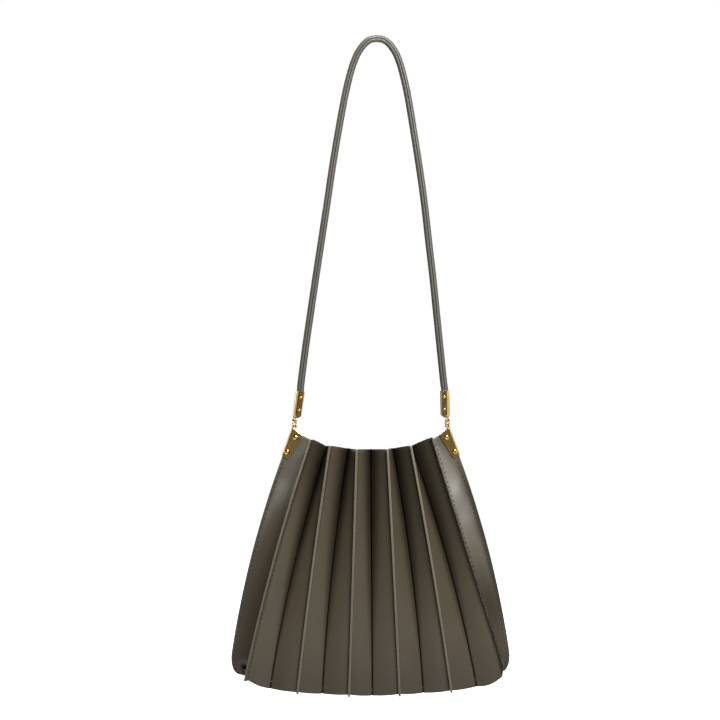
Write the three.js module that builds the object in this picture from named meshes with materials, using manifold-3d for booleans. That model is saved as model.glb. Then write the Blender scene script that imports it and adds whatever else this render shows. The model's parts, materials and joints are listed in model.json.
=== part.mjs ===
// Pleated shoulder bag, hanging from the top of its strap.
// Fourteen folded leather strips are sewn together edge to edge. Each seam stands out of the bag as a
// thin raw-edged fin, and each strip folds inwards between its two fins, so the walls close up like a fan
// towards the top. A sagging base closes the bottom. Two brass corner clips hold the side seams and carry
// the rolled strap through a ring, an eye and a ferrule on each side.
// Millimetres, +Z up, -Y is the front. The origin is the underside of the strap's highest point.
import * as THREE from "three";
import { mergeVertices } from "three/addons/utils/BufferGeometryUtils.js";
import Module from "manifold-3d";

const wasm = await Module();
wasm.setup();

// Bag sizes
const bagCentreX = -6; // the bag hangs a little left of the strap's top
const baseZ = -644; // lowest line of the hem, in the middle of the front
const topZ = -406; // top edge of the middle pleats
const baseArcRadius = 540; // the hem sags along this arc, seen from the front
const belly = 3; // front and back swell this far halfway up
const leather = 1.1; // one layer of leather
const layerGap = 0.3; // air between two layers that are sewn together
const finHeight = 4.5; // raw edges stand this far out of each ridge
const finTail = 1.6; // raw edges run on below the hem
const seamFlare = 8; // a side seam's fin widens by this much at the top, under its clip
const flareLevel = 0.8; // the level from which it widens
const seamSlope = 0.75; // at the top, a side seam's fin drops by this share of its width, towards its root
const backSink = 0.13; // the back's top edge hangs lower by this share of its depth
const rootEase = 1.2; // length of the bend from a fin into its panel
const creaseHalfWidth = 0.85; // from the middle of a valley's narrow crease to the middle of its leather

// One row for each fold of a quarter of the bag, from the middle of the front out to the side seam.
// x is measured from the bag's middle plane and y towards the front. A ridge row gives the fin's tip.
// rise lifts the fold's top above topZ, sink drops its foot below the hem's arc, bow swells it outwards
// halfway up, crease is the depth of a valley's pinched fold and cornerIn rounds a seam's foot.
const quarterFolds = [
  { fold: "valley", xBase: 0, yBase: 45, xTop: 0, yTop: 18, rise: -0.3, sink: 2.3, bow: 0, crease: 3 },
  { fold: "ridge", xBase: 24.8, yBase: 52, xTop: 15.5, yTop: 38, rise: 0.3, sink: 1.3, bow: 0 },
  { fold: "valley", xBase: 49.3, yBase: 45, xTop: 20.7, yTop: 13, rise: 0.4, sink: 2.3, bow: 3.4, crease: 3 },
  { fold: "ridge", xBase: 74, yBase: 52, xTop: 40.3, yTop: 33, rise: 3.5, sink: 3, bow: 1.3 },
  { fold: "valley", xBase: 100.4, yBase: 45, xTop: 43.2, yTop: 8, rise: 4.9, sink: 4, bow: 5, crease: 3 },
  { fold: "ridge", xBase: 125.6, yBase: 52, xTop: 59.8, yTop: 25, rise: 9.6, sink: 0.6, bow: 3.7 },
  { fold: "valley", xBase: 116, yBase: 21, xTop: 58.5, yTop: 1.8, rise: 10.4, sink: 3, bow: 5, crease: 0 },
  { fold: "seam", xBase: 142, yBase: 0, xTop: 78.5, yTop: 0, rise: 18.5, sink: 6, bow: 8.3, cornerIn: 11 },
];
const cornerHeight = 0.09; // the share of a seam's height that its rounded foot takes
const levels = [0, 0.02, 0.05, 0.1, 0.25, 0.4, 0.55, 0.7, 0.85, 1]; // 0 is the hem, 1 the top

// Base sizes
const baseThickness = 1.6;
const baseLift = 2; // underside of the base above the hem
const baseClearance = 0.45; // between the base's edge and the walls
const baseLevel = 0.025; // the walls' level at which the base's outline is taken
const baseArcSteps = 16;
const baseReach = 4; // the sheet that the base is cut from runs past the side seams by this much
const baseColumn = 100; // height and width to spare of the column and the sheet that are cut

// Corner clip sizes: u runs down the side seam, v inwards from the clip's outer edge
const clipWall = 1;
const clipGap = 0.35; // between the clip and the leather's edges
const clipPocket = 3.2; // clear width between the two leaves
const clipLength = 29.6;
const clipTopWidth = 12.7;
const clipTopDrop = 3.9; // the top edge slopes down by this much towards the inside
const clipFootWidth = 7.6;
const clipFootDrop = 1.2; // so does the foot
const clipSeamDepth = 1.9; // from the clip's outer top corner down to the top of the seam
const clipThickness = clipPocket + 2 * clipWall;
const clipFootLevel = 0.88; // the level of the clip's foot on the seam
const clipRivets = [
  { u: 8.5, v: 7.05 },
  { u: 24.8, v: 4.15 },
];

// Rivet sizes
const rivetSides = 12;
const rivetDomeSteps = 2;
const clipRivet = { shankRadius: 0.8, headRadius: 2.3, headHeight: 1.1 };
const ferruleRivet = { shankRadius: 0.7, headRadius: 1.5, headHeight: 0.8 };
const rivetClearance = 0.3;
const rivetSeatGap = 0.1; // between a head and the metal under it

// Ring, eye and ferrule sizes
const eyeRadius = 1.95;
const eyeWire = 0.75;
const eyeStem = 2.4; // an eye's centre stands this far off the metal that carries it
const eyeInset = 2; // a clip's eye, in from the clip's outer edge
const stemRadius = 1;
const linkTurn = THREE.MathUtils.degToRad(60); // ring and eyes are turned this far about the vertical
const ringRadius = 3.1;
const ringWire = 0.8;
const ferruleRadius = 4.4;
const ferruleBore = 3.8;
const ferruleLength = 27;
const ferruleFloor = 1.5; // solid end between the bore and the taper
const ferruleRivetInset = 1.3; // from the strap's middle line, towards the bag's middle
const ferruleSides = 20;
const ferruleTaper = 2.5;
const ferruleShoulder = 3.4; // radius of the wide end of the taper
const ferruleNeck = 2.4; // radius of its small end
const ferruleTaperOffset = 1; // the taper stands this far outwards from the strap's middle line
const ferruleEyeOffset = 1.8; // so does a ferrule's eye
const ferruleRivetDepths = [6, 18.5]; // below the ferrule's mouth
const ferruleLean = { left: 8, right: -1.1 }; // degrees that each ferrule's top leans towards +X

// Strap sizes
const strapRadius = 3.6;
const strapInsert = 23; // length of strap inside each ferrule
const strapSides = 8;
const strapSteps = 66;
// The free stretch of the strap from the left ferrule over the top to the right one: x and z of its centreline.
const strapRoute = [
  [-76.1, -342], [-71.5, -306], [-66.3, -270], [-61, -234], [-55.5, -198], [-50, -162], [-44.7, -126],
  [-38.7, -90], [-32, -54], [-26.3, -30], [-21, -15], [-15.2, -5], [-8.2, 1.6], [0, 3.6],
  [8.4, 1.6], [15.2, -5], [20.8, -15], [25.6, -30], [31, -54], [37, -90], [42.7, -126],
  [47.7, -162], [51.8, -198], [56, -234], [59.7, -270], [63.4, -306], [67.2, -342],
];

// Finishes
const wallLeather = { color: 0x57503f, roughness: 0.55, metalness: 0 };
const strapLeather = { color: 0x4f4a40, roughness: 0.5, metalness: 0 };
const brass = { color: 0xb8923f, roughness: 0.25, metalness: 1 };

// A closed mesh as a manifold-3d solid, with its doubled vertices merged and its faces turned outwards.
function toSolid(geometry) {
  const bare = geometry.clone();
  bare.deleteAttribute("normal");
  bare.deleteAttribute("uv");
  const merged = mergeVertices(bare, 1e-4);
  const corners = merged.index.array;
  const point = (i) => new THREE.Vector3().fromBufferAttribute(merged.attributes.position, i);
  const triangles = [];
  let sixVolumes = 0;
  for (let i = 0; i < corners.length; i += 3) {
    const [a, b, c] = corners.slice(i, i + 3);
    if (a === b || b === c || c === a) continue;
    triangles.push(a, b, c);
    sixVolumes += point(a).dot(point(b).cross(point(c)));
  }
  if (sixVolumes < 0) triangles.reverse();
  return new wasm.Manifold(
    new wasm.Mesh({
      numProp: 3,
      vertProperties: new Float32Array(merged.attributes.position.array),
      triVerts: new Uint32Array(triangles),
    }),
  );
}

function toGeometry(solid) {
  const mesh = solid.getMesh();
  const geometry = new THREE.BufferGeometry();
  geometry.setAttribute("position", new THREE.BufferAttribute(mesh.vertProperties, 3));
  geometry.setIndex(new THREE.BufferAttribute(mesh.triVerts, 1));
  geometry.computeVertexNormals();
  return geometry;
}

function named(name, geometry, finish) {
  const mesh = new THREE.Mesh(geometry, new THREE.MeshStandardMaterial(finish));
  mesh.name = name;
  return mesh;
}

// Cylinder along Y, for holes that are cut from front to back.
function drill(x, z, radius, length) {
  return toSolid(new THREE.CylinderGeometry(radius, radius, length, rivetSides).translate(x, 0, z));
}

// A flat outline in the XZ plane as a plate of that thickness, centred on the Y axis.
function plate(outline, thickness) {
  const shape = new THREE.Shape(outline.map(([x, z]) => new THREE.Vector2(x, z)));
  const flat = new THREE.ExtrudeGeometry(shape, { depth: thickness, bevelEnabled: false, curveSegments: 1 });
  return toSolid(flat.rotateX(Math.PI / 2).translate(0, thickness / 2, 0));
}

// The fifteen folds of the front from the left side seam to the right one, as rows with a side of -1 or 1.
const outward = quarterFolds.slice(1).map((row) => ({ ...row, side: 1 }));
const inward = outward.map((row) => ({ ...row, side: -1 })).reverse();
const frontFolds = [...inward, { ...quarterFolds[0], side: 1 }, ...outward];

// A point on a fold line at a level from 0, the hem, to 1, the top edge.
function foldPoint(row, level) {
  const swell = 4 * level * (1 - level);
  const below = Math.max(0, 1 - level / cornerHeight);
  const rounded = (row.cornerIn ?? 0) * (1 - Math.sqrt(1 - below * below));
  const x = THREE.MathUtils.lerp(row.xBase, row.xTop, level) + row.bow * swell - rounded;
  const bellyHere = row.fold === "seam" ? 0 : belly * swell;
  const y = THREE.MathUtils.lerp(row.yBase, row.yTop, level) + bellyHere;
  const hem = baseZ - row.sink + baseArcRadius - Math.sqrt(baseArcRadius ** 2 - row.xBase ** 2);
  const z = THREE.MathUtils.lerp(hem, topZ + row.rise, level);
  return new THREE.Vector3(row.side * x, -y, z);
}

// The direction in which a ridge's fin stands out: halfway between its two panels, level in z.
function finDirection(index, level) {
  const tip = foldPoint(frontFolds[index], level);
  const before = index > 0 ? foldPoint(frontFolds[index - 1], level) : null;
  const after = index < frontFolds.length - 1 ? foldPoint(frontFolds[index + 1], level) : null;
  const mirrored = (p) => new THREE.Vector3(p.x, -p.y, p.z);
  const sum = new THREE.Vector3();
  for (const valley of [before ?? mirrored(after), after ?? mirrored(before)])
    sum.add(tip.clone().sub(valley).setZ(0).normalize());
  return sum.normalize();
}

// How far a fin stands out of its panels at a level.
function finReach(row, level) {
  if (row.fold !== "seam") return finHeight;
  return finHeight + seamFlare * Math.max(0, (level - flareLevel) / (1 - flareLevel));
}

// One end of a strip: the fin's tip, then the two points of the bend into the panel that runs to the valley.
function stripEnd(index, level, valley) {
  const tip = foldPoint(frontFolds[index], level);
  const out = finDirection(index, level);
  const aside = new THREE.Vector3(-out.y, out.x, 0);
  if (aside.dot(valley.clone().sub(tip)) < 0) aside.negate();
  const onLayer = tip.clone().addScaledVector(aside, (layerGap + leather) / 2);
  const root = onLayer.clone().addScaledVector(out, -finReach(frontFolds[index], level));
  const isSeam = frontFolds[index].fold === "seam";
  if (isSeam) root.z -= seamSlope * level * finReach(frontFolds[index], level);
  const panel = valley.clone().sub(root).setZ(0).normalize();
  const finFoot = root.clone().addScaledVector(out, rootEase / 2);
  const panelStart = root.clone().addScaledVector(panel, rootEase / 2);
  if (level === 0 && !isSeam) for (const p of [onLayer, finFoot]) p.z -= finTail;
  return { onLayer, finFoot, panelStart };
}

// The middle line of a strip's leather at a level, from one fin's tip through the valley to the other's.
function stripLine(ridge, level) {
  const row = frontFolds[ridge + 1];
  const fold = foldPoint(row, level);
  const first = stripEnd(ridge, level, fold);
  const last = stripEnd(ridge + 2, level, fold);
  const toFirst = first.panelStart.clone().sub(fold).setZ(0).normalize();
  const toLast = last.panelStart.clone().sub(fold).setZ(0).normalize();
  const inwards = toFirst.clone().add(toLast).normalize().negate();
  const halfSine = Math.abs(inwards.x * toFirst.y - inwards.y * toFirst.x);
  const crease = [toFirst, toLast].map((panel) => {
    const aside = panel.clone().addScaledVector(inwards, -panel.dot(inwards)).setLength(creaseHalfWidth);
    return {
      mouth: fold.clone().addScaledVector(panel, creaseHalfWidth / halfSine),
      floor: fold.clone().add(aside).addScaledVector(inwards, row.crease),
    };
  });
  return [
    first.onLayer, first.finFoot, first.panelStart, crease[0].mouth, crease[0].floor,
    crease[1].floor, crease[1].mouth, last.panelStart, last.finFoot, last.onLayer,
  ];
}

// A line moved aside by a distance, level in z, with mitred corners. Positive is towards the outside.
function offsetLine(line, distance) {
  const normals = line.slice(1).map((p, i) => {
    const along = p.clone().sub(line[i]).setZ(0).normalize();
    return new THREE.Vector3(along.y, -along.x, 0);
  });
  return line.map((p, i) => {
    const before = normals[Math.max(i - 1, 0)];
    const after = normals[Math.min(i, normals.length - 1)];
    const middle = before.clone().add(after).normalize();
    return p.clone().addScaledVector(middle, distance / middle.dot(after));
  });
}

// A strip as a closed ribbon of leather: two faces, two raw edges, a hem and a top edge.
function stripGeometry(ridge, face) {
  const rows = levels.map((level) => {
    const line = stripLine(ridge, level);
    const sink = face < 0 ? backSink * level : 0;
    for (const p of line) p.z += sink * p.y;
    return { out: offsetLine(line, leather / 2), inner: offsetLine(line, -leather / 2) };
  });
  const across = rows[0].out.length;
  const positions = [];
  for (const row of rows)
    for (const p of [...row.out, ...row.inner]) positions.push(p.x, face * p.y, p.z);
  const at = (level, layer, i) => (2 * level + layer) * across + i;
  const triangles = [];
  const quad = (a, b, c, d) => triangles.push(a, b, c, a, c, d);
  const last = levels.length - 1;
  for (let level = 0; level < last; level++) {
    for (let i = 0; i < across - 1; i++) {
      quad(at(level, 0, i), at(level, 0, i + 1), at(level + 1, 0, i + 1), at(level + 1, 0, i));
      quad(at(level, 1, i), at(level + 1, 1, i), at(level + 1, 1, i + 1), at(level, 1, i + 1));
    }
    const end = across - 1;
    quad(at(level, 1, 0), at(level, 0, 0), at(level + 1, 0, 0), at(level + 1, 1, 0));
    quad(at(level, 0, end), at(level, 1, end), at(level + 1, 1, end), at(level + 1, 0, end));
  }
  for (let i = 0; i < across - 1; i++) {
    quad(at(0, 1, i), at(0, 1, i + 1), at(0, 0, i + 1), at(0, 0, i));
    quad(at(last, 0, i), at(last, 0, i + 1), at(last, 1, i + 1), at(last, 1, i));
  }
  const geometry = new THREE.BufferGeometry();
  geometry.setAttribute("position", new THREE.BufferAttribute(new Float32Array(positions), 3));
  geometry.setIndex(triangles);
  return geometry;
}

// The frame of the right corner clip in the XZ plane: its outer top corner, u down the seam and v inwards.
function clipFrame() {
  const seam = frontFolds[frontFolds.length - 1];
  const top = foldPoint(seam, 1);
  const lower = foldPoint(seam, clipFootLevel);
  const u = new THREE.Vector2(lower.x - top.x, lower.z - top.z).normalize();
  const v = new THREE.Vector2(u.y, -u.x);
  const corner = new THREE.Vector2(top.x, top.z);
  corner.addScaledVector(u, -clipSeamDepth).addScaledVector(v, -(clipWall + clipGap));
  return { corner, u, v };
}

// A point of a clip in the bag's frame, for the right side (1) or the left side (-1).
function clipPoint(u, v, side) {
  const frame = clipFrame();
  const p = frame.corner.clone().addScaledVector(frame.u, u).addScaledVector(frame.v, v);
  return [side * p.x, p.y];
}

// A ring of wire, turned with the ring that links it, on a short stem, which points down for 1 and up for -1.
function eye(x, z, stemDown, side) {
  const ring = new THREE.TorusGeometry(eyeRadius, eyeWire, 6, 12).rotateY(Math.PI / 2);
  ring.rotateZ(-side * linkTurn).translate(x, 0, z);
  const stemTop = z - stemDown * eyeRadius;
  const stemFoot = z - stemDown * (eyeStem + clipWall / 2);
  const height = Math.abs(stemTop - stemFoot);
  const stem = new THREE.CylinderGeometry(stemRadius, stemRadius, height, rivetSides).rotateX(Math.PI / 2);
  stem.translate(x, 0, (stemTop + stemFoot) / 2);
  return toSolid(ring).add(toSolid(stem));
}

// How far down its sloping top edge a clip starts, at a distance v from its outer edge.
function clipTopEdge(v) {
  return (clipTopDrop / clipTopWidth) * v;
}

// A folded brass cap over the top of a side seam: two leaves, an outer wall, a top wall and an eye.
function cornerClip(side) {
  const outline = [
    clipPoint(0, 0, side),
    clipPoint(clipLength, 0, side),
    clipPoint(clipLength + clipFootDrop, clipFootWidth, side),
    clipPoint(clipTopDrop, clipTopWidth, side),
  ];
  const topWall = clipWall * Math.hypot(1, clipTopDrop / clipTopWidth);
  const past = clipTopWidth + clipWall;
  const below = clipLength + clipFootDrop + clipWall;
  const pocketOutline = [
    clipPoint(clipTopEdge(clipWall) + topWall, clipWall, side),
    clipPoint(below, clipWall, side),
    clipPoint(below, past, side),
    clipPoint(clipTopEdge(past) + topWall, past, side),
  ];
  let clip = plate(outline, clipThickness).subtract(plate(pocketOutline, clipPocket));
  for (const { u, v } of clipRivets) {
    const [x, z] = clipPoint(u, v, side);
    clip = clip.subtract(drill(x, z, clipRivet.shankRadius + rivetClearance, 2 * clipThickness));
  }
  const [eyeX, eyeZ] = eyeCentre(side);
  return clip.add(eye(eyeX, eyeZ, 1, side));
}

// The centre of a clip's eye in the bag's frame.
function eyeCentre(side) {
  return clipPoint(clipTopEdge(eyeInset) - eyeStem, eyeInset, side);
}

// A rivet along Y with a domed head at each end. seat is half the distance between its heads.
function rivet({ shankRadius, headRadius, headHeight }, seat) {
  const half = [[shankRadius, 0], [shankRadius, seat], [headRadius, seat]];
  for (let i = 1; i <= rivetDomeSteps; i++) {
    const angle = (i / rivetDomeSteps) * (Math.PI / 2);
    half.push([headRadius * Math.cos(angle), seat + headHeight * Math.sin(angle)]);
  }
  half[half.length - 1][0] = 0;
  const mirrored = half.slice(1).map(([r, y]) => [r, -y]).reverse();
  const profile = [...mirrored, ...half.slice(1)].map(([r, y]) => new THREE.Vector2(r, y));
  return toGeometry(toSolid(new THREE.LatheGeometry(profile, rivetSides)));
}

// A brass clamp folded round the strap's end, along Z with its mouth at z = 0: a round back towards the
// outside of the bag, two flat leaves towards its middle, and an eye under its tapered end.
function ferrule(side) {
  const bottom = -ferruleLength;
  const floor = bottom + ferruleTaper;
  const back = side > 0 ? -Math.PI / 2 : Math.PI / 2;
  const outline = new THREE.Shape();
  outline.absarc(0, 0, ferruleRadius, back, back + Math.PI, false);
  outline.lineTo(-side * ferruleRadius, side * ferruleRadius);
  outline.lineTo(-side * ferruleRadius, -side * ferruleRadius);
  outline.closePath();
  const bore = new THREE.CylinderGeometry(ferruleBore, ferruleBore, ferruleLength, ferruleSides);
  bore.rotateX(Math.PI / 2).translate(0, 0, floor + ferruleFloor + ferruleLength / 2);
  const body = new THREE.ExtrudeGeometry(outline, {
    depth: -floor, bevelEnabled: false, curveSegments: ferruleSides / 2,
  }).translate(0, 0, floor);
  const taper = new THREE.CylinderGeometry(ferruleShoulder, ferruleNeck, ferruleTaper, ferruleSides);
  taper.rotateX(Math.PI / 2).translate(side * ferruleTaperOffset, 0, bottom + ferruleTaper / 2);
  let clamp = toSolid(body).add(toSolid(taper)).subtract(toSolid(bore));
  for (const depth of ferruleRivetDepths) {
    const hole = ferruleRivet.shankRadius + rivetClearance;
    clamp = clamp.subtract(drill(-side * ferruleRivetInset, -depth, hole, 4 * ferruleRadius));
  }
  return toGeometry(clamp.add(eye(side * ferruleEyeOffset, bottom - eyeStem, -1, side)));
}

// Where a ferrule's mouth is and how it leans, worked out from the clip's eye and the ring between them.
function ferrulePlace(side) {
  const lean = THREE.MathUtils.degToRad(side < 0 ? ferruleLean.left : ferruleLean.right);
  const axis = new THREE.Vector3(Math.sin(lean), 0, Math.cos(lean));
  const [eyeX, eyeZ] = eyeCentre(side);
  const upperEye = new THREE.Vector3(bagCentreX + eyeX, 0, eyeZ + 2 * ringRadius);
  const across = new THREE.Vector3(axis.z, 0, -axis.x);
  const mouth = upperEye.clone().addScaledVector(axis, eyeStem + ferruleLength);
  mouth.addScaledVector(across, -side * ferruleEyeOffset);
  return { lean, axis, mouth };
}

// The rolled strap: a tube along its route, with its ends inside the ferrules and drilled for their rivets.
function strap() {
  const places = [-1, 1].map((side) => ({ side, ...ferrulePlace(side) }));
  const [leftEnd, rightEnd] = places.map(({ axis, mouth }) => [
    mouth.clone().addScaledVector(axis, -strapInsert),
    mouth.clone().addScaledVector(axis, -strapInsert / 2),
    mouth.clone(),
  ]);
  const free = strapRoute.map(([x, z]) => new THREE.Vector3(x, 0, z));
  const path = new THREE.CatmullRomCurve3([...leftEnd, ...free, ...rightEnd.reverse()], false, "centripetal");
  const round = new THREE.Shape();
  for (let i = 0; i < strapSides; i++) {
    const angle = (2 * Math.PI * i) / strapSides;
    round[i ? "lineTo" : "moveTo"](strapRadius * Math.cos(angle), strapRadius * Math.sin(angle));
  }
  round.closePath();
  let tube = toSolid(new THREE.ExtrudeGeometry(round, { steps: strapSteps, extrudePath: path }));
  for (const { side, axis, mouth } of places)
    for (const depth of ferruleRivetDepths) {
      const across = new THREE.Vector3(axis.z, 0, -axis.x).multiplyScalar(-side * ferruleRivetInset);
      const at = mouth.clone().addScaledVector(axis, -depth).add(across);
      tube = tube.subtract(drill(at.x, at.z, ferruleRivet.shankRadius + rivetClearance, 4 * strapRadius));
    }
  return toGeometry(tube);
}

// The stretch of a line that lies at least a margin in front of the middle plane y = 0.
function inFront(line, margin) {
  const kept = [];
  line.forEach((p, i) => {
    const before = line[i - 1];
    if (before && before.y < -margin !== p.y < -margin)
      kept.push(before.clone().lerp(p, (-margin - before.y) / (p.y - before.y)));
    if (p.y < -margin) kept.push(p);
  });
  return kept;
}

// The base: the outline inside the walls, cut from a sheet that sags along the hem's arc.
function basePanel() {
  const inner = [];
  for (let ridge = 0; ridge < frontFolds.length - 2; ridge += 2) {
    const [foot, above] = [0, baseLevel].map((level) =>
      offsetLine(stripLine(ridge, level), -(leather / 2 + baseClearance)),
    );
    const nearer = foot.map((p, i) => (Math.abs(p.x) < Math.abs(above[i].x) ? p : above[i]));
    inner.push(...inFront(nearer.slice(2, -2), baseClearance / 2));
  }
  const back = inner.map((p) => new THREE.Vector3(p.x, -p.y, p.z)).reverse();
  const outline = [...inner, ...back].map((p) => new THREE.Vector2(p.x, p.y));
  const column = new THREE.ExtrudeGeometry(new THREE.Shape(outline), { depth: baseColumn, bevelEnabled: false });
  column.translate(0, 0, baseZ - baseColumn / 2);
  const centre = baseZ + baseLift + baseArcRadius;
  const halfAngle = Math.asin((quarterFolds.at(-1).xBase + baseReach) / baseArcRadius);
  const arc = (radius) =>
    Array.from({ length: baseArcSteps + 1 }, (_, i) => {
      const angle = halfAngle * ((2 * i) / baseArcSteps - 1);
      return [radius * Math.sin(angle), centre - radius * Math.cos(angle)];
    });
  const sheet = plate([...arc(baseArcRadius), ...arc(baseArcRadius - baseThickness).reverse()], 2 * baseColumn);
  return toGeometry(toSolid(column).intersect(sheet));
}

// The walls and the base, in the bag's own frame.
const bag = new THREE.Group();
bag.position.x = bagCentreX;
const stripNames = ["left_gusset", "pleat_1", "pleat_2", "pleat_3", "pleat_4", "pleat_5", "right_gusset"];
for (const [faceName, face] of [["front", 1], ["back", -1]])
  stripNames.forEach((stripName, i) => {
    let strip = toSolid(stripGeometry(2 * i, face));
    const side = { left_gusset: -1, right_gusset: 1 }[stripName];
    if (side)
      for (const { u, v } of clipRivets) {
        const [x, z] = clipPoint(u, v, side);
        strip = strip.subtract(drill(x, z, clipRivet.shankRadius + rivetClearance, 2 * clipThickness));
      }
    bag.add(named(`${faceName}_${stripName}`, toGeometry(strip), wallLeather));
  });
bag.add(named("base_panel", basePanel(), wallLeather));

// The corner clips and their rivets.
for (const [sideName, side] of [["left", -1], ["right", 1]]) {
  bag.add(named(`corner_clip_${sideName}`, toGeometry(cornerClip(side)), brass));
  clipRivets.forEach(({ u, v }, i) => {
    const [x, z] = clipPoint(u, v, side);
    const pin = named(`clip_rivet_${sideName}_${i + 1}`, rivet(clipRivet, clipThickness / 2 + rivetSeatGap), brass);
    pin.position.set(x, 0, z);
    bag.add(pin);
  });
}

const shoulderBag = new THREE.Group();
shoulderBag.add(bag, named("strap", strap(), strapLeather));

// The links between the clips and the strap.
for (const [sideName, side] of [["left", -1], ["right", 1]]) {
  const [eyeX, eyeZ] = eyeCentre(side);
  const ringShape = new THREE.TorusGeometry(ringRadius, ringWire, 6, 14).rotateX(Math.PI / 2);
  ringShape.rotateZ(-side * linkTurn);
  const ring = named(`link_ring_${sideName}`, toGeometry(toSolid(ringShape)), brass);
  ring.position.set(bagCentreX + eyeX, 0, eyeZ + ringRadius);
  const { lean, mouth } = ferrulePlace(side);
  const cup = new THREE.Group();
  cup.position.copy(mouth);
  cup.rotation.y = lean;
  cup.add(named(`ferrule_${sideName}`, ferrule(side), brass));
  ferruleRivetDepths.forEach((depth, i) => {
    const pin = named(`ferrule_rivet_${sideName}_${i + 1}`, rivet(ferruleRivet, ferruleRadius + rivetSeatGap), brass);
    pin.position.set(-side * ferruleRivetInset, 0, -depth);
    cup.add(pin);
  });
  shoulderBag.add(ring, cup);
}

export default shoulderBag;
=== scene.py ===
# Pleated shoulder bag, dressed: leather strips with raw-edged fins, thread, a rolled strap and
# brass fittings.
# Sizes are in millimetres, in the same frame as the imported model, and MM turns them to metres.
import json
import math
from collections import namedtuple

import bmesh
import bpy
from mathutils import Matrix, Vector, geometry, noise

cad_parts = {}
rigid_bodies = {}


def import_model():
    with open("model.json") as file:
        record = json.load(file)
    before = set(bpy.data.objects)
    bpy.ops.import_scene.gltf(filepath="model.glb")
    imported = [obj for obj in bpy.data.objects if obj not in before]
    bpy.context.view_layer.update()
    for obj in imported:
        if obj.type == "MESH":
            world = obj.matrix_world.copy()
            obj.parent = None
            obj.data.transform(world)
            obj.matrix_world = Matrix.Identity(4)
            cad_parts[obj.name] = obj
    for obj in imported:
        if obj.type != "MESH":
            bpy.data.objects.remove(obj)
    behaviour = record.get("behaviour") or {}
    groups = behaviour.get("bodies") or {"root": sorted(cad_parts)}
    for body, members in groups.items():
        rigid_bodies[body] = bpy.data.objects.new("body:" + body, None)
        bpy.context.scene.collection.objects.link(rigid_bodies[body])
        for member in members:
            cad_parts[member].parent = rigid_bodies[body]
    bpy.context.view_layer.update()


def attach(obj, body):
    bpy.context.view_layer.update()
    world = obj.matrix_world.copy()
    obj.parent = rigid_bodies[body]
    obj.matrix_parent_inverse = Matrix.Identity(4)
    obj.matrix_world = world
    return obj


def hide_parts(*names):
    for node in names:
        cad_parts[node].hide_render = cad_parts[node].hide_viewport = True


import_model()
scene = bpy.context.scene
MM = 0.001

# Bag sizes. A level is a share of the wall's height, from 0 at the hem to 1 at the top edge.
BAG_X = -6  # the bag's middle plane
BASE_Z = -644
TOP_Z = -406
BASE_ARC = 540  # radius of the hem's arc
BELLY = 3  # how far the walls swell halfway up
LEATHER = 1.0
LAYER_OFFSET = 0.53  # from a fin's middle to each of its two layers
FIN_HEIGHT = 4.5
FIN_TAIL = 1.6  # fins run on below the hem
SHORT_TAIL = 0.3  # the first fin is cut shorter
TAIL_LEVEL = 0.02
SEAM_FLARE = 8  # how much wider a side seam's fin is at the top, under its clip
FLARE_LEVEL = 0.8
SEAM_SLOPE = 0.62  # a side seam's top edge falls towards the gusset
BACK_SINK = 0.13  # the back rim's drop for each millimetre of depth
CREASE_HALF = 0.85
SHALLOWEST_CREASE = 0.4
CORNER_HEIGHT = 0.09  # the level where a side seam's rounded foot ends
PANEL_PUFF = 0.03
HEM_DROOP = 0.4
OUTER_DROOP = {-1: 1.2, 1: 2.6}  # of the outermost pleats' hems
DROOP_LEVEL = 0.15

# A row for each fold of a quarter of the bag, from the middle of the front to the side seam. A ridge's
# or seam's row gives its fin's tip. x runs from the bag's middle plane and y to the front, rise is the
# top's height over TOP_Z, sink the hem's depth under the arc, bow how far the fold bows out halfway up,
# crease a valley's depth and corner_in the rounding of a seam's foot.
Fold = namedtuple("Fold", "kind x_base y_base x_top y_top rise sink bow crease corner_in side")
QUARTER = [
    Fold("valley", 0, 45, 0, 18, -0.3, 2.3, 0, 3, 0, 1),
    Fold("ridge", 24.8, 52, 15.5, 38, 0.3, 1.3, 0, 0, 0, 1),
    Fold("valley", 49.3, 45, 20.7, 13, 0.4, 2.3, 3.4, 3, 0, 1),
    Fold("ridge", 74, 52, 40.3, 33, 3.5, 3, 1.3, 0, 0, 1),
    Fold("valley", 100.4, 45, 43.2, 8, 2.6, 4, 5, 3, 0, 1),
    Fold("ridge", 125.6, 52, 59.8, 25, 9.6, 0.6, 3.7, 0, 0, 1),
    Fold("valley", 116, 21, 58.5, 1.8, 8.6, 3, 5, 0, 0, 1),
    Fold("seam", 142, 0, 78.5, 0, 18.5, 6, 8.3, 0, 11, 1),
]
LEFT_FOLDS = [row._replace(side=-1) for row in reversed(QUARTER[1:])]
FOLDS = LEFT_FOLDS + QUARTER
OUTER_RIDGES = (2, len(FOLDS) - 3)

# How far a fold hangs to the right of its even place, at the hem and at the mouth
ASKEW = {
    2: (-1, -1.5), 3: (-1.2, -1.2), 4: (-1, -2.5), 5: (-1.3, -3), 6: (0, -1), 7: (-1.6, -1.8),
    8: (0, -1.5), 9: (-0.8, 0), 10: (1.5, -3), 11: (0.5, -4),
}
for index, (hem_shift, mouth_shift) in ASKEW.items():
    even = FOLDS[index]
    FOLDS[index] = even._replace(
        x_base=even.x_base + even.side * hem_shift, x_top=even.x_top + even.side * mouth_shift)

# The right foot is pushed up into a round corner, and the fin above it leans over its pleat
FOLDS[OUTER_RIDGES[1]] = Fold("ridge", 127.2, 52, 59.2, 25, 11.5, -13, -1, 0, 0, 1)
FOOT_DROP = 13
FIN_LEAN = {OUTER_RIDGES[1]: math.radians(-35)}
FOOT_LEVEL = 0.2
STRIPS = ["left_gusset", "pleat_1", "pleat_2", "pleat_3", "pleat_4", "pleat_5", "right_gusset"]

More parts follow.
